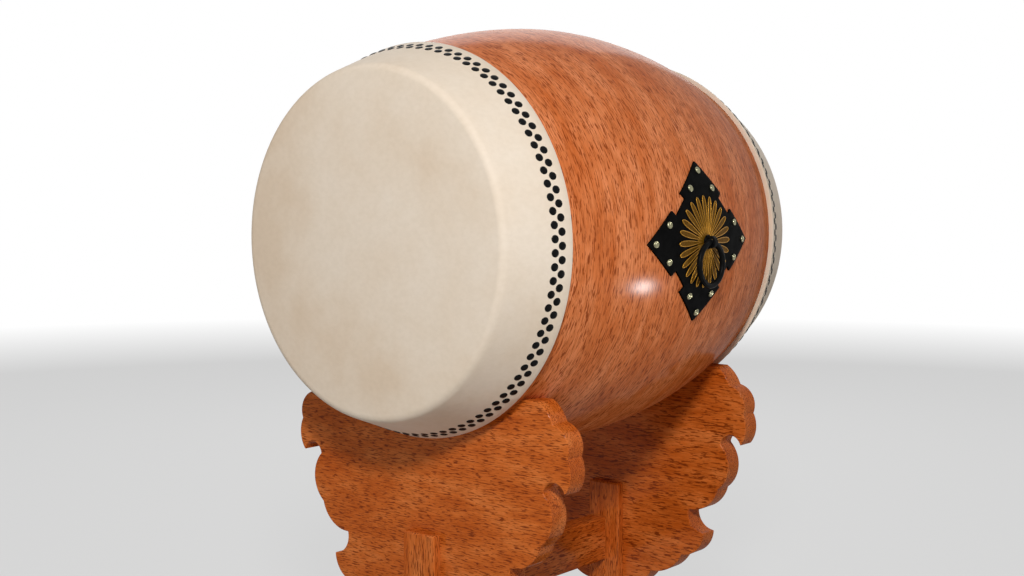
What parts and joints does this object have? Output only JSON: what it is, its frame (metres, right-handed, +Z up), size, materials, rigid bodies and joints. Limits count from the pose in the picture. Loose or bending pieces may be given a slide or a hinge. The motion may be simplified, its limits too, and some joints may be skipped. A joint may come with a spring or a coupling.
{
  "type": "taiko drum",
  "caption": "Barrel-bodied taiko with nailed rawhide heads and iron ring handles, resting in a wooden stand with cloud-shaped cradle boards.",
  "frame": {"origin": "middle of the stand's footprint, on the floor", "axes": "+Z up, the drum's axis along Y with the near head facing -Y, the ring handles on +X and -X"},
  "size_m": [0.839, 0.8912, 1.444],
  "materials": {
    "varnished_wood": "glossy varnish over orange-brown wood",
    "rawhide": "matt cream rawhide",
    "black_iron": "blackened, satin",
    "gilt_brass": "polished gilt",
    "foot_rubber": "matt black"
  },
  "bodies": {
    "stand": {"front_board": "varnished_wood", "rear_board": "varnished_wood", "front_post": "varnished_wood", "rear_post": "varnished_wood", "front_peg": "varnished_wood", "rear_peg": "varnished_wood", "upper_rail": "varnished_wood", "lower_rail": "varnished_wood", "front_wedge": "varnished_wood", "rear_wedge": "varnished_wood", "front_foot": "varnished_wood", "rear_foot": "varnished_wood", "front_right_pad": "foot_rubber", "front_left_pad": "foot_rubber", "rear_right_pad": "foot_rubber", "rear_left_pad": "foot_rubber"},
    "drum": {"drum_body": "varnished_wood", "front_skin": "rawhide", "rear_skin": "rawhide", "right_ring_plate": "black_iron", "left_ring_plate": "black_iron", "right_rosette": "gilt_brass", "left_rosette": "gilt_brass", "right_washer": "black_iron", "left_washer": "black_iron", "right_eye_bolt": "black_iron", "left_eye_bolt": "black_iron"},
    "ring_right": {"right_ring": "black_iron"},
    "ring_left": {"left_ring": "black_iron"}
  },
  "joints": [
    {"name": "drum_lift", "type": "slide", "parent": "stand", "child": "drum", "axis": [0, 0, 1], "range_m": [0, 0.15]},
    {"name": "right_ring_swing", "type": "hinge", "parent": "drum", "child": "ring_right", "pos_m": [0.4085, 0, 1.04895], "axis": [0, -1, 0], "range_deg": [0, 180]},
    {"name": "left_ring_swing", "type": "hinge", "parent": "drum", "child": "ring_left", "pos_m": [-0.4085, 0, 1.04895], "axis": [0, 1, 0], "range_deg": [0, 180]}
  ]
}
